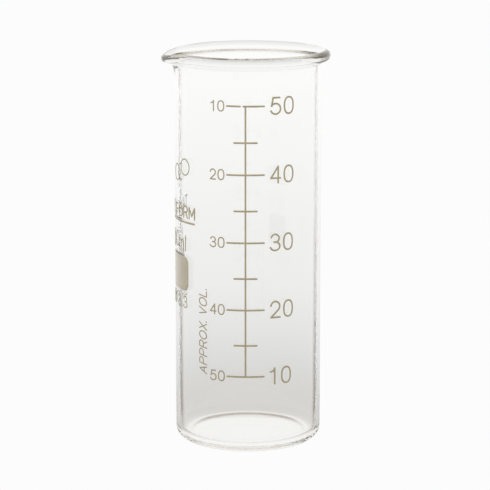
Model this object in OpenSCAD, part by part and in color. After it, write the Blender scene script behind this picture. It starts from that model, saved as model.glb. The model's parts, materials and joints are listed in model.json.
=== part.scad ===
// Tall narrow laboratory beaker: one blown piece of borosilicate glass with a flared, beaded rim,
// a small pouring spout and a pushed-up base, and fired enamel marks on its outer wall.
// Millimetres. +Z is up, the origin is at the centre of the ring that the base stands on,
// the spout points to -X and the volume scale faces -Y.

/* [Body] */
// Outside diameter of the wall
outer_d = 32; // [28:0.5:40]
// Height from the table to the top of the rim
body_h = 86.5; // [80:0.5:110]
// Thickness of the wall
wall = 1.3; // [1:0.1:1.8]

/* [Base] */
// Radius of the rounded corner that the base stands on
foot_r = 2.5; // [2:0.1:3.5]
// Width of the flat ring that touches the table
foot_ring = 0.6; // [0.4:0.1:1.2]
// How far the middle of the base is pushed up
push_up = 1.6; // [0.8:0.1:2.5]
// Thickness of the glass in the middle of the base
base_wall = 1.6; // [1.2:0.1:2.4]

/* [Rim] */
// Outer radius of the curve that flares the rim
flare_r = 2.1; // [2:0.1:3]
// Angle that the wall turns through in the flare
flare_sweep = 60; // [50:5:70]
// Radius of the fire-polished bead on the rim's edge
bead_r = 1.2; // [0.9:0.05:1.3]

/* [Spout] */
// How far the tip stands out from the wall
spout_reach = 2.9; // [2.5:0.05:4]
// How far the tip lies below the rim
spout_drop = 1; // [0.8:0.1:2]
// Angle from the tip to where each side of the spout meets the rim
spout_half_az = 24; // [18:1:30]

/* [Enamel] */
// Thickness of the fired enamel
print_t = 0.08; // [0.05:0.01:0.15]
// Height of the 10 ml line above the table
first_line_z = 17.3; // [16:0.1:19]
// Width of a graduation line
line_w = 0.38; // [0.3:0.02:0.5]
// Angle of a whole 10 ml line round the wall
line_sweep = 30; // [20:1:32]
// Angle of a half line round the wall
half_sweep = 18.8; // [12:0.2:19]
// Angle from the front to the middle of the scale
scale_az = -1.94; // [-5:0.01:5]
// Angle from the front to the middle of the label
label_az = -85; // [-95:1:-83]

/* [Hidden] */

glass_tint = [0.86, 0.92, 0.9, 0.45];
enamel_tan = [0.63, 0.58, 0.48];

outer_r = outer_d / 2;
inner_r = outer_r - wall;

// Rim: the bead sits on the end of the flare, half way through the wall
flare_mid_r = flare_r + wall / 2;
flare_end = 180 - flare_sweep;
flare_z = body_h - bead_r - flare_mid_r * sin(flare_sweep);
bead_x = outer_r + flare_r + flare_mid_r * cos(flare_end);
bead_z = body_h - bead_r;
// Angles at which the flare's two faces run into the bead
bead_in = 5;
bead_from = -75;
bead_to = 150;

// Base: the floor's corner, and where the pushed-up domes begin
corner_r = 1.8;
floor_edge_z = 1.45;
ring_out = outer_r - foot_r;
ring_in = ring_out - foot_ring;
floor_edge = inner_r - corner_r;
floor_rise = push_up + base_wall - floor_edge_z;

// Spout: a skin between a ball at the tip, one in the bead on each side and one in the wall,
// and a channel between smaller balls that runs out over the top of the rim
lip_r = bead_r;
lip_t = 0.8;
shoulder_inset = 0.15;
shoulder_r = bead_r - shoulder_inset;
root_inset = 0.05;
root_r = wall / 2 - root_inset;
spout_root_z = flare_z + wall / 2;
channel_r = 0.3;
channel_over = 3;
channel_rise = 1;
channel_root_z = flare_z + channel_rise;
channel_narrower = 5;
channel_half_az = spout_half_az - channel_narrower;
channel_inset = 0.7;
channel_shoulder_r = inner_r - channel_inset;
tip_x = -(outer_r + spout_reach - lip_r);
tip_z = body_h - spout_drop - lip_r;

// Scale: each 10 ml fills the same height of the straight bore, and the half lines
// are printed a little under the middle between two whole ones
ml_step = 10;
scale_top = 50;
mm3_per_ml = 1000;
half_drop = 0.45;
step_h = ml_step * mm3_per_ml / (PI * pow(inner_r, 2));
scale_h = step_h * (scale_top / ml_step - 1);
numeral_gap = 1.3;
fill_cap = 3.9;
pour_cap = 2.4;
pour_gap = 0.5;
legend_cap = 2.15;
legend_turn = 35.6;
legend_spread = 0.08;

// Label: each mark's angle is counted from the middle of the label
title_cap = 2.8;
title_z = 50.8;
title_right = 39;
rule_z = 49.9;
rule_t = 0.4;
rule_turn = 9;
rule_part = 20;
rule_lap = 0.2;
capacity_cap = 3.6;
capacity_z = 43.5;
capacity_turn = 8;
spot_h = 7.6;
spot_z = 34.7;
spot_corner = 1.6;
spot_turn = 7;
spot_half = 24;
grade_cap = 2.8;
grade_z = 30.8;
grade_right = 29;
rings_turn = 19;
ring_r = 1.9;
ring_w = 0.3;
ring_z = 61.2;
ring_apart = 7.4;
ring_step = 0.8;

// How finely round shapes are drawn
body_fn = 96;
ring_fn = 48;
corner_fn = 32;
ball_fn = 20;
stroke_fn = 16;

// A character's centre lines stand 0.9 of its cap height tall, and its strokes are 0.1 wide
stroke_w = 0.1;
stroke_h = 0.9;
letter_gap = 0.14;
// Most degrees in one step of a sector's outline
sector_step = 80;

// Points on an arc about [x, y], from angle a to angle b
function arc(x, y, r, a, b, n = 12) =
    [for (i = [0:n]) let (t = a + (b - a) * i / n) [x + r * cos(t), y + r * sin(t)]];

// Points on a dome with its edge at [edge, z] and its middle higher by rise
function dome(edge, z, rise, n = 8) =
    let (r = (pow(edge, 2) + pow(rise, 2)) / (2 * rise), half = asin(edge / r))
    arc(0, z + rise - r, r, 90, 90 - half, n);

// The same points in the other order
function backwards(points) = [for (i = [len(points) - 1:-1:0]) points[i]];

// Centre lines of a character: a line is [[x, y], [x, y]],
// an arc is [[x, y], radius, from angle, to angle]
function strokes(c) =
    c == "0" || c == "O" ? [[[0.28, 0.28], 0.28, 180, 360], [[0.28, 0.62], 0.28, 0, 180],
                            [[0, 0.28], [0, 0.62]], [[0.56, 0.28], [0.56, 0.62]]] :
    c == "1" ? [[[0.25, 0], [0.25, 0.9]], [[0.25, 0.9], [0, 0.68]]] :
    c == "2" ? [[[0.28, 0.62], 0.28, -35, 170], [[0.51, 0.46], [0, 0]], [[0, 0], [0.56, 0]]] :
    c == "3" ? [[[0.3, 0.685], 0.215, -90, 160], [[0.3, 0.235], 0.235, -160, 90]] :
    c == "4" ? [[[0.42, 0], [0.42, 0.9]], [[0.42, 0.9], [0, 0.25]], [[0, 0.25], [0.56, 0.25]]] :
    c == "5" ? [[[0.5, 0.9], [0.12, 0.9]], [[0.12, 0.9], [0.05, 0.47]], [[0.27, 0.29], 0.29, -150, 140]] :
    c == "A" ? [[[0, 0], [0.3, 0.9]], [[0.3, 0.9], [0.6, 0]], [[0.11, 0.32], [0.49, 0.32]]] :
    c == "B" ? [[[0, 0], [0, 0.9]], [[0, 0], [0.3, 0]], [[0, 0.47], [0.3, 0.47]], [[0, 0.9], [0.3, 0.9]],
                [[0.3, 0.685], 0.215, -90, 90], [[0.3, 0.235], 0.235, -90, 90]] :
    c == "F" ? [[[0, 0], [0, 0.9]], [[0, 0.9], [0.5, 0.9]], [[0, 0.47], [0.42, 0.47]]] :
    c == "L" ? [[[0, 0], [0, 0.9]], [[0, 0], [0.46, 0]]] :
    c == "M" ? [[[0, 0], [0, 0.9]], [[0, 0.9], [0.33, 0.2]], [[0.33, 0.2], [0.66, 0.9]],
                [[0.66, 0.9], [0.66, 0]]] :
    c == "P" ? [[[0, 0], [0, 0.9]], [[0, 0.9], [0.3, 0.9]], [[0, 0.42], [0.3, 0.42]],
                [[0.3, 0.66], 0.24, -90, 90]] :
    c == "R" ? concat(strokes("P"), [[[0.28, 0.42], [0.54, 0]]]) :
    c == "T" ? [[[0.28, 0], [0.28, 0.9]], [[0, 0.9], [0.56, 0.9]]] :
    c == "V" ? [[[0, 0.9], [0.28, 0]], [[0.28, 0], [0.56, 0.9]]] :
    c == "X" ? [[[0, 0.9], [0.52, 0]], [[0, 0], [0.52, 0.9]]] :
    c == "l" ? [[[0, 0], [0, 0.9]]] :
    c == "m" ? [[[0, 0], [0, 0.62]], [[0.17, 0.45], 0.17, 0, 180], [[0.51, 0.45], 0.17, 0, 180],
                [[0.34, 0], [0.34, 0.45]], [[0.68, 0], [0.68, 0.45]]] :
    c == "." ? [[[0, 0], [0, 0.02]]] : [];

// Width that a character's centre lines take up: a 1 keeps free space on its right
function width(c) =
    c == "1" ? 0.44 : c == "A" ? 0.6 : c == "L" ? 0.46 : c == "M" ? 0.66 : c == "m" ? 0.68 :
    c == "l" || c == "." ? 0 : c == " " ? 0.2 : 0.56;

// Distance from the first character's left edge to the left edge of character i
function run(chars, i) =
    i == 0 ? 0 : run(chars, i - 1) + width(chars[i - 1]) + stroke_w + letter_gap;

// Length of a whole row
function row_length(chars) = run(chars, len(chars)) - letter_gap - stroke_w;

// Angle that a length covers on the outer wall
function turn(length) = length / outer_r * 180 / PI;

// One stroke of a character, with round ends
module stroke(s) {
    if (len(s) == 2) {
        reach = s[1] - s[0];
        translate(s[0]) rotate(atan2(reach[1], reach[0]))
            translate([0, -stroke_w / 2]) square([norm(reach), stroke_w]);
        for (end = s) translate(end) circle(d = stroke_w, $fn = stroke_fn);
    } else {
        span = s[3] - s[2];
        translate(s[0]) {
            within_sector(s[1] + stroke_w, s[2], span)
                difference() {
                    circle(r = s[1] + stroke_w / 2, $fn = ring_fn);
                    circle(r = s[1] - stroke_w / 2, $fn = ring_fn);
                }
            for (a = [s[2], s[3]]) rotate(a) translate([s[1], 0]) circle(d = stroke_w, $fn = stroke_fn);
        }
    }
}

// Keeps what lies within radius r in a sector that starts at angle a and covers span degrees
module within_sector(r, a, span) {
    steps = ceil(span / sector_step);
    intersection() {
        children();
        polygon(concat([[0, 0]], [for (i = [0:steps])
            let (t = a + span * i / steps) 2 * r * [cos(t), sin(t)]]));
    }
}

module character(c) {
    for (s = strokes(c)) stroke(s);
}

// A thin coat on the outer wall, cut to the outlines of its children
module fired_coat() {
    color(enamel_tan) intersection() {
        difference() {
            cylinder(h = body_h, r = outer_r + print_t, $fn = body_fn);
            cylinder(h = body_h, r = outer_r, $fn = body_fn);
        }
        union() children();
    }
}

// A flat outline stood on the wall at angle az from the front and height z, facing out.
// A wide one reaches deeper, because the wall curves away from it.
module on_wall(az, z, depth = 1) {
    rotate([0, 0, az]) translate([0, 0, z]) rotate([90, 0, 0])
        translate([0, 0, outer_r - depth]) linear_extrude(height = depth + 2 * print_t) children();
}

// A row of characters that runs round the wall, its left edge at angle az
module row(chars, cap, az, z) {
    for (i = [0:len(chars) - 1])
        on_wall(az + turn(cap * (run(chars, i) + width(chars[i]) / 2)), z)
            scale(cap) translate([-width(chars[i]) / 2, stroke_w / 2]) character(chars[i]);
}

// A row of characters that climbs the wall, starting at height z, each spread apart from the last
module climbing_row(chars, cap, az, z, spread) {
    for (i = [0:len(chars) - 1])
        on_wall(az, z + cap * (run(chars, i) + spread * i))
            scale(cap) rotate(90) translate([0, -stroke_h / 2]) character(chars[i]);
}

// A bar round the wall, centred on angle az and height z
module bar(az, z, sweep, thickness) {
    half = outer_r * sin(sweep / 2);
    on_wall(az, z) translate([-half, -thickness / 2]) square([2 * half, thickness]);
}

// Glass in section, from the middle of the underside up the outside, over the bead and down the inside
module wall_section() {
    polygon(concat(
        dome(ring_in, 0, push_up),
        arc(ring_out, foot_r, foot_r, -90, 0),
        arc(outer_r + flare_r, flare_z, flare_r, 180, flare_end + bead_in),
        arc(bead_x, bead_z, bead_r, bead_from, bead_to, 16),
        arc(outer_r + flare_r, flare_z, flare_r + wall, flare_end + bead_in, 180),
        arc(floor_edge, floor_edge_z + corner_r, corner_r, 0, -90, 6),
        backwards(dome(floor_edge, floor_edge_z, floor_rise))));
}

// Outer skin of the spout
module spout_skin() {
    hull() {
        translate([tip_x, 0, tip_z]) sphere(r = lip_r, $fn = ball_fn);
        for (side = [-1, 1]) rotate([0, 0, side * spout_half_az])
            translate([-bead_x, 0, bead_z]) sphere(r = shoulder_r, $fn = ball_fn);
        translate([-(outer_r - wall / 2), 0, spout_root_z]) sphere(r = root_r, $fn = ball_fn);
    }
}

// Space inside the spout, open at the top
module spout_channel() {
    hull() {
        for (up = [0, channel_over]) {
            translate([tip_x + lip_t, 0, tip_z + lip_r / 2 + up]) sphere(r = channel_r, $fn = stroke_fn);
            for (side = [-1, 1]) rotate([0, 0, side * channel_half_az])
                translate([-channel_shoulder_r, 0, bead_z + up]) sphere(r = channel_r, $fn = stroke_fn);
        }
        translate([-(inner_r - channel_r), 0, channel_root_z]) sphere(r = channel_r, $fn = stroke_fn);
    }
}

module glass_vessel() {
    color(glass_tint) difference() {
        union() {
            rotate_extrude($fn = body_fn) wall_section();
            difference() {
                spout_skin();
                cylinder(h = body_h, r = inner_r, $fn = body_fn);
            }
        }
        spout_channel();
    }
}

// Upright line, a whole line every 10 ml and a half line between each pair
module graduation_ladder() {
    fired_coat() {
        on_wall(scale_az, first_line_z)
            translate([-line_w / 2, -line_w / 2]) square([line_w, scale_h + line_w]);
        for (i = [0:scale_top / ml_step - 1]) bar(scale_az, first_line_z + i * step_h, line_sweep, line_w);
        for (i = [0:scale_top / ml_step - 2])
            bar(scale_az, first_line_z + (i + 1 / 2) * step_h - half_drop, half_sweep, line_w);
    }
}

// Large number to the right of its line: what the beaker holds up to there
module fill_numeral(ml) {
    fired_coat() row(str(ml), fill_cap, scale_az + line_sweep / 2 + turn(numeral_gap),
        first_line_z + (ml / ml_step - 1) * step_h - fill_cap / 2);
}

// Small number to the left of a line: what has been poured from a brimful beaker down to there
module pour_numeral(ml) {
    fired_coat() row(str(ml), pour_cap,
        scale_az - line_sweep / 2 - turn(pour_gap + pour_cap * row_length(str(ml))),
        first_line_z + (scale_top / ml_step - ml / ml_step) * step_h - pour_cap / 2);
}

module volume_legend() {
    az = scale_az - legend_turn;
    fired_coat() climbing_row("APPROX. VOL.", legend_cap, az, first_line_z, legend_spread);
}

// Matt patch to write on with a pencil
module marking_spot() {
    half = outer_r * sin(spot_half);
    fired_coat() on_wall(label_az + spot_turn, spot_z, outer_r / 2) union() {
        translate([-half, spot_corner]) square([2 * half, spot_h - 2 * spot_corner]);
        translate([spot_corner - half, 0]) square([2 * (half - spot_corner), spot_h]);
        for (x = [spot_corner - half, half - spot_corner], y = [spot_corner, spot_h - spot_corner])
            translate([x, y]) circle(r = spot_corner, $fn = corner_fn);
    }
}

module capacity_mark() {
    chars = "50 ml";
    half = turn(capacity_cap * row_length(chars) / 2);
    fired_coat() row(chars, capacity_cap, label_az + capacity_turn - half, capacity_z);
}

module title_text() {
    chars = "TALL FORM";
    length = turn(title_cap * row_length(chars));
    fired_coat() row(chars, title_cap, label_az + title_right - length, title_z);
}

// Three lengths end to end, because a straight bar can't reach far round the wall
module title_rule() {
    fired_coat() for (i = [-1:1])
        bar(label_az + rule_turn + i * rule_part, rule_z, rule_part + rule_lap, rule_t);
}

module glass_grade_mark() {
    chars = "BORO 3.3";
    length = turn(grade_cap * row_length(chars));
    fired_coat() row(chars, grade_cap, label_az + grade_right - length, grade_z);
}

// Two plain rings over the label
module ring_emblem() {
    fired_coat() for (side = [-1, 1])
        on_wall(label_az + rings_turn + side * ring_apart, ring_z + side * ring_step)
            difference() {
                circle(r = ring_r, $fn = ring_fn);
                circle(r = ring_r - ring_w, $fn = ring_fn);
            }
}

glass_vessel();
graduation_ladder();
fill_numeral(10);  // fill_numeral_10
fill_numeral(20);  // fill_numeral_20
fill_numeral(30);  // fill_numeral_30
fill_numeral(40);  // fill_numeral_40
fill_numeral(50);  // fill_numeral_50
pour_numeral(10);  // pour_numeral_10
pour_numeral(20);  // pour_numeral_20
pour_numeral(30);  // pour_numeral_30
pour_numeral(40);  // pour_numeral_40
pour_numeral(50);  // pour_numeral_50
volume_legend();
marking_spot();
capacity_mark();
title_text();
title_rule();
glass_grade_mark();
ring_emblem();
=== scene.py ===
import json
import math
import bpy
import numpy as np
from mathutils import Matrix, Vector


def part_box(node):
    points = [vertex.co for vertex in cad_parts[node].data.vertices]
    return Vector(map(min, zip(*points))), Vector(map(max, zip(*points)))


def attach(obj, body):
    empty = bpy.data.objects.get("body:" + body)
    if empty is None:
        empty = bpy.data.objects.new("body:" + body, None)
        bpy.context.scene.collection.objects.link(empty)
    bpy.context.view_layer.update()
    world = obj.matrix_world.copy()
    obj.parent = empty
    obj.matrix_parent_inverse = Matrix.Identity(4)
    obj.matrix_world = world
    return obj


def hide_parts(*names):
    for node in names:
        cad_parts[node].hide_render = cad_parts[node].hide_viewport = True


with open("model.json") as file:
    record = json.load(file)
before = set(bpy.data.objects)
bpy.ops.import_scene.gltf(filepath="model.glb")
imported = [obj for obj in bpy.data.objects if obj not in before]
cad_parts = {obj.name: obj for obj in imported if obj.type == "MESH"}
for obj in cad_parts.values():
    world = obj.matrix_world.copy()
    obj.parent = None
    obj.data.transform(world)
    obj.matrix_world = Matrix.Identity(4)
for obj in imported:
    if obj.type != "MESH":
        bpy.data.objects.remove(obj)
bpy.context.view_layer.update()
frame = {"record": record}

# Viewpoint: a long lens half a metre from the beaker and a little above it, as for a catalogue picture.
# The beaker stands a touch right of the middle.
MM = 0.001
SENSOR = 36.0
LENS = 173.6
SIDE_SHIFT = -0.00612
CAMERA_BACK = 510.5 * MM
CAMERA_UP = 147.3 * MM
LOOK_DOWN = math.radians(11.53)
FAR_CLIP = 20.0
camera = bpy.data.objects.new("camera", bpy.data.cameras.new("camera"))
camera.data.sensor_width = SENSOR
camera.data.lens = LENS
camera.data.shift_x = SIDE_SHIFT
camera.location = (0.0, -CAMERA_BACK, CAMERA_UP)
camera.rotation_euler = (math.radians(90.0) - LOOK_DOWN, 0.0, 0.0)
camera.data.clip_end = FAR_CLIP
bpy.context.scene.collection.objects.link(camera)
bpy.context.scene.camera = camera


# Glass vessel: one piece of blown borosilicate glass. The wall is drawn tube, the base is pressed up a
# little in the middle, the rim is flared, its edge melts to a bead, and the spout is pulled out by hand
# while the rim is soft, which draws the rim in on both sides of it.
mounts = {m["name"]: m for m in frame["record"]["mounts"]}
OUTER_R = mounts["outer_wall"]["dims"]["r_mm"]
INNER_R = mounts["inside_wall"]["dims"]["r_mm"]
RIM_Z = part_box("glass_vessel")[1].z / MM
WALL = OUTER_R - INNER_R
FOOT_R = 2.5
FOOT_RING = 0.6
PUSH_UP = 1.6
FLOOR_EDGE_Z = 1.45
CORNER_R = 1.8
FLOOR_MID_Z = 3.2
BEAD_R = 1.187
FLARE_R = 2.1
FLARE_SWEEP = 60.0
SPOUT_PULL = 1.06
SPOUT_WIDE = 21.0
SPOUT_DEEP = 5.5
PINCH = 0.35
PINCH_AT = 46.0
PINCH_WIDE = 15.0
DROOP = 1.0
DROOP_WIDE = 24.0
DROOP_DEEP = 5.0
AROUND = 288
WALL_RINGS = 44
RINGS_CROWD = 0.75
SWELL_FROM = 0.35
BEAD_FROM = -60.0
BEAD_TO = 120.0


def arc(x, y, rx, ry, start, end, n):
    """n points on an ellipse about (x, y) with radii rx and ry, at even angles from start to end."""
    a = np.radians(np.linspace(start, end, n))
    return np.column_stack([x + rx * np.cos(a), y + ry * np.sin(a)])


def smooth(x, low, high):
    """0 below low, 1 above high, and 3t^2 - 2t^3 between them."""
    t = np.clip((x - low) / (high - low), 0.0, 1.0)
    return t * t * (3.0 - 2.0 * t)


def dome(edge, z, rise, n):
    """n points on a shallow round dome from its middle out to radius edge, where its height is z."""
    r = (edge ** 2 + rise ** 2) / (2.0 * rise)
    half = math.degrees(math.asin(edge / r))
    return arc(0.0, z + rise - r, r, r, 90.0, 90.0 - half, n)


def flare(r, swell, n):
    """A quarter-turn curve of the rim: an arc of radius r that swells by the bead's extra thickness."""
    t = np.linspace(0.0, 1.0, n)
    a = np.radians(180.0 - FLARE_SWEEP * t)
    rr = r + swell * smooth(t, SWELL_FROM, 1.0)
    return np.column_stack([OUTER_R + FLARE_R + rr * np.cos(a), flare_z + rr * np.sin(a)])


flare_mid = FLARE_R + WALL / 2.0
flare_z = RIM_Z - BEAD_R - flare_mid * math.sin(math.radians(FLARE_SWEEP))
bead_x = OUTER_R + FLARE_R - flare_mid * math.cos(math.radians(FLARE_SWEEP))
ring_out = OUTER_R - FOOT_R
heights = FOOT_R + (flare_z - FOOT_R) * np.linspace(0.0, 1.0, WALL_RINGS) ** RINGS_CROWD
swell = BEAD_R - WALL / 2.0
section = np.vstack([
    dome(ring_out - FOOT_RING, 0.0, PUSH_UP, 16),
    arc(ring_out, FOOT_R, FOOT_R, FOOT_R, -90.0, 0.0, 16),
    np.column_stack([np.full(WALL_RINGS - 2, OUTER_R), heights[1:-1]]),
    flare(FLARE_R, -swell, 20),
    arc(bead_x, RIM_Z - BEAD_R, BEAD_R, BEAD_R, BEAD_FROM, BEAD_TO, 20)[1:-1],
    flare(FLARE_R + WALL, swell, 20)[::-1],
    np.column_stack([np.full(WALL_RINGS - 2, INNER_R), heights[1:-1][::-1]])[:-1],
    arc(INNER_R - CORNER_R, FLOOR_EDGE_Z + CORNER_R, CORNER_R, CORNER_R, 0.0, -90.0, 14),
    dome(INNER_R - CORNER_R, FLOOR_EDGE_Z, FLOOR_MID_Z - FLOOR_EDGE_Z, 16)[::-1][1:],
])


def blown_glass(section, around):
    """The section turned about the axis, then pulled into a spout at -X.

    With a the angle from the spout in degrees, the rim moves out by SPOUT_PULL exp(-(a/SPOUT_WIDE)^2) and
    in by PINCH exp(-((|a|-PINCH_AT)/PINCH_WIDE)^2), and it droops by DROOP exp(-(a/DROOP_WIDE)^2), all
    fading out down the wall.
    """
    turn = np.arange(around) * 2.0 * np.pi / around
    a = np.degrees((turn + np.pi) % (2.0 * np.pi) - np.pi)[:, None]
    r, z = section[:, 0][None, :], section[:, 1][None, :]
    soft = smooth(z, RIM_Z - SPOUT_DEEP, RIM_Z)
    lip = SPOUT_PULL * np.exp(-(a / SPOUT_WIDE) ** 2) * soft
    pinch = PINCH * np.exp(-((np.abs(a) - PINCH_AT) / PINCH_WIDE) ** 2) * soft
    droop = DROOP * np.exp(-(a / DROOP_WIDE) ** 2) * smooth(z, RIM_Z - DROOP_DEEP, RIM_Z)
    rr = r + lip - pinch
    return np.stack([-rr * np.cos(turn)[:, None], -rr * np.sin(turn)[:, None], z - droop], axis=2)


def lathe_mesh(name, grid):
    """A closed mesh from rings of points: grid[i, j] is point j of the line at turn i, and both ends of
    every line meet in one pole."""
    around, along = grid.shape[:2]
    inner = grid[:, 1:-1].reshape(-1, 3)
    points = np.vstack([inner, grid[:1, 0], grid[:1, -1]]) * MM
    i, j = np.meshgrid(np.arange(around), np.arange(along - 3), indexing="ij")
    n = along - 2
    k = (i + 1) % around
    quads = np.stack([i * n + j, k * n + j, k * n + j + 1, i * n + j + 1], axis=-1).reshape(-1, 4)
    ring = np.arange(around)
    after = (ring + 1) % around
    low = np.column_stack([np.full(around, len(inner)), after * n, ring * n])
    high = np.column_stack([np.full(around, len(inner) + 1), ring * n + n - 1, after * n + n - 1])
    mesh = bpy.data.meshes.new(name)
    mesh.from_pydata(points.tolist(), [], quads.tolist() + low.tolist() + high.tolist())
    mesh.polygons.foreach_set("use_smooth", np.ones(len(mesh.polygons), bool))
    mesh.update()
    return mesh


def piece(name, mesh, material, slot, *nodes):
    """A new object that rides on the beaker and stands for the CAD nodes named."""
    obj = bpy.data.objects.new(name, mesh)
    bpy.context.scene.collection.objects.link(obj)
    mesh.materials.append(material)
    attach(obj, "root")
    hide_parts(*nodes)
    return obj


def linear(code):
    """An sRGB hex colour as linear red, green and blue."""
    c = np.array([int(code[i:i + 2], 16) for i in (1, 3, 5)]) / 255.0
    return tuple(np.where(c <= 0.04045, c / 12.92, ((c + 0.055) / 1.055) ** 2.4)) + (1.0,)


def add(tree, kind, settings=(), **links):
    """A node of one kind, with its settings and its sockets' values or links. A socket is named by its
    words joined by _, or by i and its number."""
    node = tree.nodes.new(kind)
    for key, value in dict(settings).items():
        setattr(node, key, value)
    for key, value in links.items():
        numbered = key[0] == "i" and key[1:].isdigit()
        socket = node.inputs[int(key[1:]) if numbered else key.replace("_", " ")]
        if isinstance(value, bpy.types.NodeSocket):
            tree.links.new(value, socket)
        else:
            socket.default_value = value
    return node


# Borosilicate glass, drawn and fire-polished: clear, with a trace of grey-brown in its depth and faint draw
# lines that run up the wall. Where a sight line only grazes the bore, a thin brown line of painted shade
# shows, stronger towards the foot.
GLASS_IOR = 1.473
CLEAR_TINT = "#FDFDFC"
# painted shade: the brown of the dark line painted where the bore is seen edge on
PAINTED_EDGE_SHADE = "#7A5838"
DEPTH_TINT = "#D8CFB6"
DEPTH_DENSITY = 3.5
DRAW_SCALE = (420.0, 420.0, 18.0)
DRAW_STRENGTH = 0.06
DRAW_HEIGHT = 0.02 * MM
# Where the foot ends, the heights between which the painted shade fades, and what is left of it at the top
FOOT_ENDS = (3.0 * MM, 7.0 * MM)
SHADE_FADES = (8.0 * MM, 64.0 * MM, 1.0, 0.35)
BORE_ONLY = ((OUTER_R - 0.4) * MM, (INNER_R + 0.3) * MM)
# From square on, at 0, to edge on, at 1: the slant that takes the painted shade, and the slant at which the
# bore begins to mirror from inside the wall
SLANT = (0.76, 0.88)
MIRROR_SLANT = (0.272, 0.292, 1.0, 0.0)
MIRROR_SHARE = (0.5, 0.98)
BAND_CLEAR = 0.35


def times(tree, first, second):
    """The product of two sockets, or of a socket and a number."""
    return add(tree, "ShaderNodeMath", {"operation": "MULTIPLY"}, i0=first, i1=second).outputs[0]


def share(tree, value, low, high, start=0.0, end=1.0, curve="LINEAR"):
    """A value mapped from low..high to start..end, and held there beyond."""
    return add(tree, "ShaderNodeMapRange", {"interpolation_type": curve}, Value=value, From_Min=low,
               From_Max=high, To_Min=start, To_Max=end).outputs[0]


def borosilicate_glass():
    """The glass: painted shade, a brown tint, on the bore where its surface is seen at a slant, and a band
    of painted shade, less clear, where the bore just begins to mirror from inside the wall. Both fade out
    up the wall."""
    material = bpy.data.materials.new("borosilicate_glass")
    material.use_nodes = True
    tree = material.node_tree
    tree.nodes.clear()
    place = add(tree, "ShaderNodeTexCoord").outputs["Object"]
    height = add(tree, "ShaderNodeSeparateXYZ", Vector=place).outputs["Z"]
    foot = share(tree, height, *FOOT_ENDS)
    drawn = add(tree, "ShaderNodeMapping", Vector=place, Scale=DRAW_SCALE)
    lines = add(tree, "ShaderNodeTexNoise", Vector=drawn.outputs[0], Scale=1.0, Detail=2.0)
    ripple = add(tree, "ShaderNodeBump", Height=lines.outputs["Fac"],
                 Strength=times(tree, foot, DRAW_STRENGTH), Distance=DRAW_HEIGHT)
    across = add(tree, "ShaderNodeVectorMath", {"operation": "MULTIPLY"}, i0=place, i1=(1.0, 1.0, 0.0))
    radius = add(tree, "ShaderNodeVectorMath", {"operation": "LENGTH"}, i0=across.outputs[0])
    bore = share(tree, radius.outputs["Value"], *BORE_ONLY)
    lower = times(tree, bore, share(tree, height, *SHADE_FADES))
    facing = add(tree, "ShaderNodeLayerWeight", Blend=0.5).outputs["Facing"]
    edge = times(tree, lower, share(tree, facing, *SLANT, curve="SMOOTHSTEP"))
    mirror = add(tree, "ShaderNodeFresnel", IOR=GLASS_IOR).outputs[0]
    begins = share(tree, facing, *MIRROR_SLANT, curve="SMOOTHSTEP")
    band = times(tree, times(tree, share(tree, mirror, *MIRROR_SHARE), begins), times(tree, lower, foot))
    # painted shade: the edge line and the band brown the glass, and the band also makes it less clear
    painted_shade = add(tree, "ShaderNodeMath", {"operation": "MAXIMUM"}, i0=edge, i1=band)
    tint = add(tree, "ShaderNodeMixRGB", Fac=painted_shade.outputs[0], Color1=linear(CLEAR_TINT),
               Color2=linear(PAINTED_EDGE_SHADE))
    shader = add(tree, "ShaderNodeBsdfPrincipled", Base_Color=tint.outputs[0], Roughness=0.0, IOR=GLASS_IOR,
                 Transmission_Weight=share(tree, band, 0.0, 1.0, 1.0, BAND_CLEAR), Normal=ripple.outputs[0])
    depth = add(tree, "ShaderNodeVolumeAbsorption", Color=linear(DEPTH_TINT), Density=DEPTH_DENSITY)
    add(tree, "ShaderNodeOutputMaterial", Surface=shader.outputs[0], Volume=depth.outputs[0])
    return material


glass = borosilicate_glass()
vessel = piece("glass_vessel_blown", lathe_mesh("glass_vessel_blown", blown_glass(section, AROUND)),
               glass, "borosilicate_glass", "glass_vessel")


# Printed scale: a screen-printed ceramic enamel, fired onto the wall as a thin raised ribbon of tan glaze.
# Lines and characters are strokes of one width with round ends.
PRINT_T = 0.07
SINK = 0.01
LINE_W = 0.38
SCALE_AZ = math.radians(-1.94)
LINE_SWEEP = math.radians(30.0)
HALF_SWEEP = math.radians(18.8)
HALF_DROP = 0.45
GAP_FROM = -1.15
GAP_TO = -0.45
ladder_low, ladder_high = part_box("graduation_ladder")
FIRST_Z = ladder_low.z / MM + LINE_W / 2.0
STEP = (ladder_high.z / MM - LINE_W / 2.0 - FIRST_Z) / 4.0
# Across a ribbon: how far out from its middle line, and how high above the glass, as shares
RIBBON = np.array([[-1.0, 0.0], [-0.9, 0.55], [-0.6, 0.93], [0.0, 1.0], [0.6, 0.93], [0.9, 0.55],
                   [1.0, 0.0], [0.5, 0.0], [-0.5, 0.0]])
CAP_STEPS = 5


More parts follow.
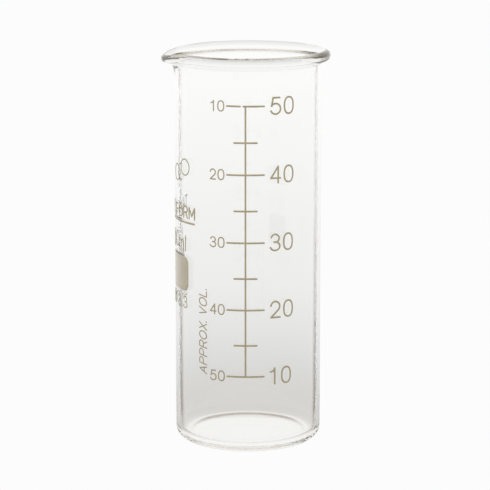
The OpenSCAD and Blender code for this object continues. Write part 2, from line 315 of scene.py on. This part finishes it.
def ribbon(path, width):
    """A rounded ribbon along a path of (round the wall, up the wall) points, in millimetres.

    The cap at each end narrows as the sine of the angle round it, so each end is half a circle.
    """
    path = np.asarray(path, float)
    step = np.gradient(path, axis=0)
    step /= np.linalg.norm(step, axis=1)[:, None]
    quarter = np.linspace(0.0, np.pi / 2.0, CAP_STEPS + 1)[:-1]
    start = path[0] - step[0] * (width / 2.0 * np.cos(quarter))[:, None]
    end = (path[-1] + step[-1] * (width / 2.0 * np.cos(quarter))[:, None])[::-1]
    line = np.vstack([start, path, end])
    along = np.vstack([np.repeat(step[:1], CAP_STEPS, 0), step, np.repeat(step[-1:], CAP_STEPS, 0)])
    narrow = np.concatenate([np.sin(quarter), np.ones(len(path)), np.sin(quarter)[::-1]])
    side = np.column_stack([-along[:, 1], along[:, 0]])
    flat = line[:, None] + side[:, None] * (narrow[:, None] * RIBBON[:, 0] * width / 2.0)[..., None]
    height = RIBBON[:, 1] * np.minimum(1.0, narrow[:, None] * 1.5) * PRINT_T - SINK * narrow[:, None]
    return np.concatenate([flat, height[..., None]], axis=2)


def on_wall(flat, azimuth):
    """Points (round, up, out) in millimetres wrapped on the outer wall, from azimuth on."""
    a = azimuth + flat[..., 0] / OUTER_R
    r = OUTER_R + flat[..., 2]
    return np.stack([r * np.sin(a), -r * np.cos(a), flat[..., 1]], axis=-1)


def print_mesh(name, paths, width, azimuth):
    """One mesh of ribbons, each a closed tube whose first and last rings have shrunk to poles."""
    points, faces, base = [], [], 0
    for path in paths:
        grid = on_wall(ribbon(path, width), azimuth)
        rows, ring = grid.shape[:2]
        points += [grid[0, :1], grid[1:-1].reshape(-1, 3), grid[-1, :1]]
        n = rows - 2
        i, j = np.meshgrid(np.arange(n - 1), np.arange(ring), indexing="ij")
        k = (j + 1) % ring
        body = np.stack([i * ring + j, (i + 1) * ring + j, (i + 1) * ring + k, i * ring + k], -1)
        body = body.reshape(-1, 4)
        around = np.arange(ring)
        after = (around + 1) % ring
        first = np.column_stack([np.full(ring, -1), around, after])
        top = (n - 1) * ring
        last = np.column_stack([np.full(ring, n * ring), top + after, top + around])
        faces += (body + base + 1).tolist() + (first + base + 1).tolist() + (last + base + 1).tolist()
        base += n * ring + 2
    mesh = bpy.data.meshes.new(name)
    mesh.from_pydata((np.vstack(points) * MM).tolist(), [], faces)
    mesh.polygons.foreach_set("use_smooth", np.ones(len(mesh.polygons), bool))
    mesh.update()
    return mesh


def line(*ends, n=10):
    """A straight or bent line through its ends, with n points to each stretch so that it wraps smoothly."""
    ends = np.array(ends, float)
    far = np.linspace(0.0, 1.0, n)[:, None]
    stretches = [ends[i] + (ends[i + 1] - ends[i]) * far for i in range(len(ends) - 1)]
    return np.vstack([stretches[0]] + [s[1:] for s in stretches[1:]])


def joined(*parts):
    """Several runs of points as one path, without points that repeat."""
    path = np.vstack(parts)
    keep = np.concatenate([[True], np.linalg.norm(np.diff(path, axis=0), axis=1) > 1e-4])
    return path[keep]


def oval(x, y, rx, ry, power=2.35, n=56):
    """A closed rounded oval: both coordinates are the 2/power-th power of a circle's."""
    a = np.linspace(0.5 * np.pi, 2.5 * np.pi, n)
    c, s = np.cos(a), np.sin(a)
    return np.column_stack([x + rx * np.sign(c) * np.abs(c) ** (2.0 / power),
                            y + ry * np.sign(s) * np.abs(s) ** (2.0 / power)])


# Characters by the width they take up and their middle lines, which are 0.9 high for a cap height of 1
# with strokes 0.1 wide. A 1 keeps free space on its right.
CHARACTERS = {
    "0": (0.56, [oval(0.28, 0.45, 0.28, 0.45)]),
    "1": (0.44, [line((0.25, 0.0), (0.25, 0.9)), line((0.0, 0.69), (0.15, 0.72), (0.25, 0.88))]),
    "2": (0.56, [joined(arc(0.28, 0.62, 0.26, 0.28, 172.0, -38.0, 26), line((0.485, 0.448), (0.02, 0.0))),
                 line((0.02, 0.0), (0.56, 0.0))]),
    "3": (0.54, [joined(arc(0.26, 0.675, 0.235, 0.225, 165.0, -62.0, 22)[:-1],
                        line((0.34, 0.47), (0.2, 0.47), n=4)),
                 arc(0.26, 0.235, 0.28, 0.235, 80.0, -165.0, 26)]),
    "4": (0.56, [line((0.43, 0.0), (0.43, 0.9)), line((0.43, 0.9), (0.0, 0.25)),
                 line((0.0, 0.25), (0.56, 0.25))]),
    "5": (0.56, [line((0.5, 0.9), (0.12, 0.9)), line((0.12, 0.9), (0.04, 0.44)),
                 arc(0.27, 0.29, 0.29, 0.29, 146.0, -158.0, 34)]),
    "A": (0.6, [line((0.0, 0.0), (0.3, 0.9), (0.6, 0.0)), line((0.11, 0.32), (0.49, 0.32))]),
    "B": (0.53, [joined(line((0.3, 0.47), (0.0, 0.47), (0.0, 0.9), (0.3, 0.9)),
                        arc(0.3, 0.685, 0.2, 0.215, 90.0, -90.0, 16)),
                 joined(line((0.0, 0.47), (0.0, 0.0), (0.3, 0.0)),
                        arc(0.3, 0.235, 0.23, 0.235, -90.0, 90.0, 16))]),
    "F": (0.5, [line((0.0, 0.0), (0.0, 0.9), (0.5, 0.9)), line((0.0, 0.47), (0.42, 0.47))]),
    "L": (0.46, [line((0.0, 0.9), (0.0, 0.0), (0.46, 0.0))]),
    "M": (0.66, [line((0.0, 0.0), (0.0, 0.9), (0.33, 0.2), (0.66, 0.9), (0.66, 0.0))]),
    "O": (0.66, [oval(0.33, 0.45, 0.33, 0.45, 2.1)]),
    "P": (0.54, [joined(line((0.0, 0.0), (0.0, 0.9), (0.3, 0.9)), arc(0.3, 0.66, 0.24, 0.24, 90.0, -90.0, 16),
                        line((0.3, 0.42), (0.0, 0.42)))]),
    "R": (0.54, [joined(line((0.0, 0.0), (0.0, 0.9), (0.3, 0.9)), arc(0.3, 0.66, 0.24, 0.24, 90.0, -90.0, 16),
                        line((0.3, 0.42), (0.0, 0.42))), line((0.3, 0.42), (0.54, 0.0))]),
    "T": (0.56, [line((0.28, 0.0), (0.28, 0.9)), line((0.0, 0.9), (0.56, 0.9))]),
    "V": (0.56, [line((0.0, 0.9), (0.28, 0.0), (0.56, 0.9))]),
    "X": (0.52, [line((0.0, 0.9), (0.52, 0.0)), line((0.0, 0.0), (0.52, 0.9))]),
    "l": (0.0, [line((0.0, 0.0), (0.0, 0.9))]),
    "m": (0.68, [line((0.0, 0.0), (0.0, 0.62)),
                 joined(arc(0.17, 0.45, 0.17, 0.17, 180.0, 0.0, 12), line((0.34, 0.45), (0.34, 0.0))),
                 joined(arc(0.51, 0.45, 0.17, 0.17, 180.0, 0.0, 12), line((0.68, 0.45), (0.68, 0.0)))]),
    ".": (0.0, [line((0.0, 0.0), (0.0, 0.06), n=2)]),
    " ": (0.2, []),
}


def lettering(text, cap, gap=0.24, slant=0.0, stretch=1.0):
    """The strokes of a row of characters and its length, in millimetres: each character starts where the
    last one's width and a gap end, and a slant moves points right by that share of their height."""
    x, paths = 0.0, []
    for c in text:
        width, strokes = CHARACTERS[c]
        for s in strokes:
            paths.append(np.column_stack([x + s[:, 0] * stretch + slant * s[:, 1], s[:, 1] + 0.05]) * cap)
        x += width * stretch + gap
    return paths, (x - gap) * cap


def moved(paths, right, up):
    """The same paths, moved round and up the wall."""
    return [p + (right, up) for p in paths]


CLOUD_MM = 1.6
THIN_SHADE = 0.88
THICK_SHADE = 1.1
ROUGH_SPREAD = 0.06


def fired_enamel(name, colour, roughness, grain_mm, glaze):
    """Fired ceramic enamel: a dense glaze with a faint mottle and the fine grain of the screen it went
    through, under a skin of clear glaze as strong as given."""
    material = bpy.data.materials.new(name)
    material.use_nodes = True
    tree = material.node_tree
    tree.nodes.clear()
    place = add(tree, "ShaderNodeTexCoord")
    cloud = add(tree, "ShaderNodeTexNoise", Vector=place.outputs["Object"], Scale=1.0 / (CLOUD_MM * MM),
                Detail=3.0)
    grain = add(tree, "ShaderNodeTexNoise", Vector=place.outputs["Object"], Scale=1.0 / (grain_mm * MM),
                Detail=2.0)
    shade = add(tree, "ShaderNodeValToRGB", Fac=cloud.outputs["Fac"])
    shade.color_ramp.elements[0].position = 0.3
    shade.color_ramp.elements[0].color = tuple(THIN_SHADE * c for c in linear(colour)[:3]) + (1.0,)
    shade.color_ramp.elements[1].position = 0.7
    shade.color_ramp.elements[1].color = tuple(THICK_SHADE * c for c in linear(colour)[:3]) + (1.0,)
    rough = share(tree, grain.outputs["Fac"], 0.0, 1.0, roughness - ROUGH_SPREAD, roughness + ROUGH_SPREAD)
    bump = add(tree, "ShaderNodeBump", Height=grain.outputs["Fac"], Strength=0.35, Distance=0.01 * MM)
    shader = add(tree, "ShaderNodeBsdfPrincipled", Base_Color=shade.outputs[0], Roughness=rough, IOR=1.52,
                 Coat_Weight=glaze, Coat_Roughness=0.15, Coat_IOR=1.8, Normal=bump.outputs[0])
    add(tree, "ShaderNodeOutputMaterial", Surface=shader.outputs[0])
    return material


enamel = fired_enamel("tan_ceramic_enamel", "#A89C7C", 0.32, 0.12, 0.0)

# The upright line, the whole lines and the half lines. The top line has a small gap where the screen
# clogged.
line_half = OUTER_R * LINE_SWEEP / 2.0 - LINE_W / 2.0
half_half = OUTER_R * HALF_SWEEP / 2.0 - LINE_W / 2.0
top_z = FIRST_Z + 4.0 * STEP
ladder = [line((0.0, FIRST_Z), (0.0, top_z - 0.15), n=60)]
ladder += [line((-line_half, FIRST_Z + i * STEP), (line_half, FIRST_Z + i * STEP), n=24) for i in range(4)]
half_z = [FIRST_Z + (i + 0.5) * STEP - HALF_DROP for i in range(4)]
ladder += [line((-half_half, z), (half_half, z), n=16) for z in half_z]
ladder += [line((-line_half, top_z + 0.05), (GAP_FROM, top_z), n=12),
           line((GAP_TO, top_z), (line_half, top_z), n=20)]
piece("graduation_ladder_print", print_mesh("graduation_ladder_print", ladder, LINE_W, SCALE_AZ),
      enamel, "scale_enamel", "graduation_ladder")

FILL_CAP = 3.9
POUR_CAP = 2.4
NUMERAL_GAP = 1.3
POUR_GAP = 0.5
for ml in range(10, 60, 10):
    z = FIRST_Z + (ml / 10.0 - 1.0) * STEP
    paths = lettering(str(ml), FILL_CAP)[0]
    paths = moved(paths, line_half + LINE_W / 2.0 + NUMERAL_GAP, z - FILL_CAP / 2.0)
    name = "fill_numeral_%d" % ml
    piece(name + "_print", print_mesh(name + "_print", paths, 0.1 * FILL_CAP, SCALE_AZ),
          enamel, "scale_enamel", name)
    z = FIRST_Z + (5.0 - ml / 10.0) * STEP
    paths, length = lettering(str(ml), POUR_CAP)
    paths = moved(paths, -line_half - LINE_W / 2.0 - POUR_GAP - length, z - POUR_CAP / 2.0)
    name = "pour_numeral_%d" % ml
    piece(name + "_print", print_mesh(name + "_print", paths, 0.12 * POUR_CAP, SCALE_AZ),
          enamel, "scale_enamel", name)

# The legend climbs the wall in sloping capitals.
LEGEND_CAP = 2.15
LEGEND_TURN = math.radians(35.6)
legend_low, legend_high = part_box("volume_legend")
paths, length = lettering("APPROX. VOL.", LEGEND_CAP, gap=0.22, slant=0.2, stretch=1.12)
reach = (legend_high.z - legend_low.z) / MM - 0.1 * LEGEND_CAP
spread = reach / length
paths = [np.column_stack([-p[:, 1] + LEGEND_CAP / 2.0, FIRST_Z + p[:, 0] * spread]) for p in paths]
legend_mesh = print_mesh("volume_legend_print", paths, 0.12 * LEGEND_CAP, SCALE_AZ - LEGEND_TURN)
piece("volume_legend_print", legend_mesh, enamel, "scale_enamel", "volume_legend")

# The label by the spout: capacity, title with a rule under it, glass grade, two plain rings.
LABEL_AZ = math.radians(-85.0)
CAPACITY_CAP, CAPACITY_Z, CAPACITY_RIGHT = 3.6, 43.5, math.radians(27.2)
TITLE_CAP, TITLE_Z, TITLE_RIGHT, TITLE_WEIGHT = 2.8, 50.8, math.radians(39.0), 0.14
GRADE_CAP, GRADE_Z, GRADE_RIGHT = 2.8, 30.8, math.radians(29.0)
RULE_HALF, RULE_Z, RULE_W, RULE_TURN = 8.3, 49.9, 0.4, math.radians(9.0)
RING_R, RING_W, RING_Z, RING_TURN = 1.75, 0.3, 61.2, math.radians(19.0)
RING_APART, RING_STEP = 2.07, 0.8


def label_row(node, text, cap, right_az, z, weight=0.1):
    """A row of the label whose right-hand end is at right_az from the front."""
    paths, length = lettering(text, cap)
    mesh = print_mesh(node + "_print", moved(paths, -length, z), weight * cap, right_az)
    piece(node + "_print", mesh, enamel, "scale_enamel", node)


label_row("capacity_mark", "50 ml", CAPACITY_CAP, LABEL_AZ + CAPACITY_RIGHT, CAPACITY_Z)
label_row("title_text", "TALL FORM", TITLE_CAP, LABEL_AZ + TITLE_RIGHT, TITLE_Z, TITLE_WEIGHT)
label_row("glass_grade_mark", "BORO 3.3", GRADE_CAP, LABEL_AZ + GRADE_RIGHT, GRADE_Z)
rule = [line((-RULE_HALF, RULE_Z), (RULE_HALF, RULE_Z), n=40)]
piece("title_rule_print", print_mesh("title_rule_print", rule, RULE_W, LABEL_AZ + RULE_TURN),
      enamel, "scale_enamel", "title_rule")
rings = [oval(side * RING_APART, RING_Z + side * RING_STEP, RING_R, RING_R, 2.0, 64) for side in (-1.0, 1.0)]
piece("ring_emblem_print", print_mesh("ring_emblem_print", rings, RING_W, LABEL_AZ + RING_TURN),
      enamel, "scale_enamel", "ring_emblem")


# Marking spot: a patch of duller enamel that takes a pencil, fired on as one film with rounded corners.
spot_low, spot_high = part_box("marking_spot")
SPOT_Z = spot_low.z / MM
SPOT_H = (spot_high.z - spot_low.z) / MM
SPOT_HALF = OUTER_R * math.radians(24.0)
SPOT_TURN = math.radians(7.0)
SPOT_CORNER = 1.6
EDGE_DROP = 0.45
EDGE_POWER = 30


def film(half, height, corner, rings, around):
    """A thin film with rounded corners: the outline shrunk ring by ring to its middle, first underneath
    from the middle out, then over the top back to the middle, with a rounded edge between."""
    x, z = half - corner, height / 2.0 - corner
    quarter = [arc(sx * x, sz * z, corner, corner, start, start + 90.0, 12)
               for sx, sz, start in ((1, -1, -90.0), (1, 1, 0.0), (-1, 1, 90.0), (-1, -1, 180.0))]
    outline = np.vstack(quarter)
    outline = np.vstack([outline, outline[:1]])
    far = np.concatenate([[0.0], np.cumsum(np.linalg.norm(np.diff(outline, axis=0), axis=1))])
    even = np.linspace(0.0, far[-1], around, endpoint=False)
    outline = np.column_stack([np.interp(even, far, outline[:, 0]), np.interp(even, far, outline[:, 1])])
    out = np.linspace(0.0, 1.0, rings)
    edge = 1.0 - EDGE_DROP * out ** EDGE_POWER
    under = np.column_stack([out, np.full(rings, -SINK)])
    over = np.column_stack([out, PRINT_T * edge])[::-1]
    profile = np.vstack([under, over])
    flat = outline[:, None] * profile[None, :, :1]
    return np.concatenate([flat, np.repeat(profile[None, :, 1:], around, 0)], axis=2)


patch = film(SPOT_HALF, SPOT_H, SPOT_CORNER, 26, 120)
patch[..., 1] += SPOT_Z + SPOT_H / 2.0
matt = fired_enamel("matt_marking_enamel", "#A59878", 0.3, 0.09, 1.0)
piece("marking_spot_print", lathe_mesh("marking_spot_print", on_wall(patch, LABEL_AZ + SPOT_TURN)),
      matt, "spot_enamel", "marking_spot")


# Stage: a plain white table and room. The table dims a little towards the beaker in what the glass shows
# of it, as it does under a real vessel, and the room has a dark ceiling that draws the rim's thin lines.
def stage_light(tree, shown, seen_in_glass, kind):
    """Plain white where the table or room is looked at, and the given colour where glass bends or
    mirrors it."""
    path = add(tree, "ShaderNodeLightPath")
    mix = add(tree, "ShaderNodeMixRGB", Fac=path.outputs["Is Camera Ray"], Color1=seen_in_glass, Color2=shown)
    lamp = "ShaderNodeBackground" if kind == "World" else "ShaderNodeEmission"
    light = add(tree, lamp, Color=mix.outputs[0], Strength=1.0)
    add(tree, "ShaderNodeOutput" + kind, Surface=light.outputs[0])


def ramp(tree, factor, stops):
    """A colour ramp through (position, grey or colour) stops."""
    node = add(tree, "ShaderNodeValToRGB", Fac=factor)
    while len(node.color_ramp.elements) < len(stops):
        node.color_ramp.elements.new(0.5)
    for element, (position, colour) in zip(node.color_ramp.elements, stops):
        element.position = position
        element.color = colour if isinstance(colour, tuple) else (colour, colour, colour, 1.0)
    return node.outputs[0]


WHITE = linear("#FCFCFC")
TABLE_HALF = 3.0
TABLE_DROP = 0.02 * MM
NEAR = 0.6
# The table's tone by distance from the beaker, as a share of NEAR: light underneath, dim and a little warm
# round the foot, then slowly back to white
TABLE_TONES = [(0.0, 0.97), (0.0235, 0.95), (0.028, (0.67, 0.655, 0.635, 1.0)),
               (0.06, (0.69, 0.675, 0.66, 1.0)), (0.084, (0.705, 0.7, 0.69, 1.0)), (0.112, 0.735),
               (0.168, 0.81), (0.26, 0.88), (0.35, 0.9), (0.49, 0.93), (0.67, 0.96), (1.0, 1.0)]
# The room's tone from straight ahead, at 0, to overhead, at 1
ROOM_TONES = [(0.0, 0.97), (0.5, 0.96), (0.75, 0.9), (1.0, 0.85)]
BOUNCES = 128
table_mesh = bpy.data.meshes.new("table")
corners = [(-TABLE_HALF, -TABLE_HALF, 0.0), (TABLE_HALF, -TABLE_HALF, 0.0),
           (TABLE_HALF, TABLE_HALF, 0.0), (-TABLE_HALF, TABLE_HALF, 0.0)]
table_mesh.from_pydata(corners, [], [(0, 1, 2, 3)])
table = bpy.data.objects.new("table", table_mesh)
table.location.z = -TABLE_DROP
bpy.context.scene.collection.objects.link(table)
table_paint = bpy.data.materials.new("white_table")
table_paint.use_nodes = True
tree = table_paint.node_tree
tree.nodes.clear()
spot = add(tree, "ShaderNodeTexCoord")
distance = add(tree, "ShaderNodeVectorMath", {"operation": "LENGTH"}, i0=spot.outputs["Object"])
far = add(tree, "ShaderNodeMath", {"operation": "DIVIDE"}, i0=distance.outputs["Value"], i1=NEAR)
near = ramp(tree, far.outputs[0], TABLE_TONES)
stage_light(tree, WHITE, near, "Material")
table_mesh.materials.append(table_paint)

world = bpy.data.worlds.new("white_room")
bpy.context.scene.world = world
world.use_nodes = True
tree = world.node_tree
tree.nodes.clear()
sky = add(tree, "ShaderNodeTexCoord")
height = add(tree, "ShaderNodeSeparateXYZ", Vector=sky.outputs["Generated"])
room = ramp(tree, height.outputs["Z"], ROOM_TONES)
stage_light(tree, WHITE, room, "World")

bpy.context.scene.view_settings.view_transform = "Standard"
# Light that enters the rim runs down inside the wall by one reflection after another before it comes out.
bpy.context.scene.cycles.max_bounces = BOUNCES
bpy.context.scene.cycles.glossy_bounces = BOUNCES
bpy.context.scene.cycles.transmission_bounces = BOUNCES
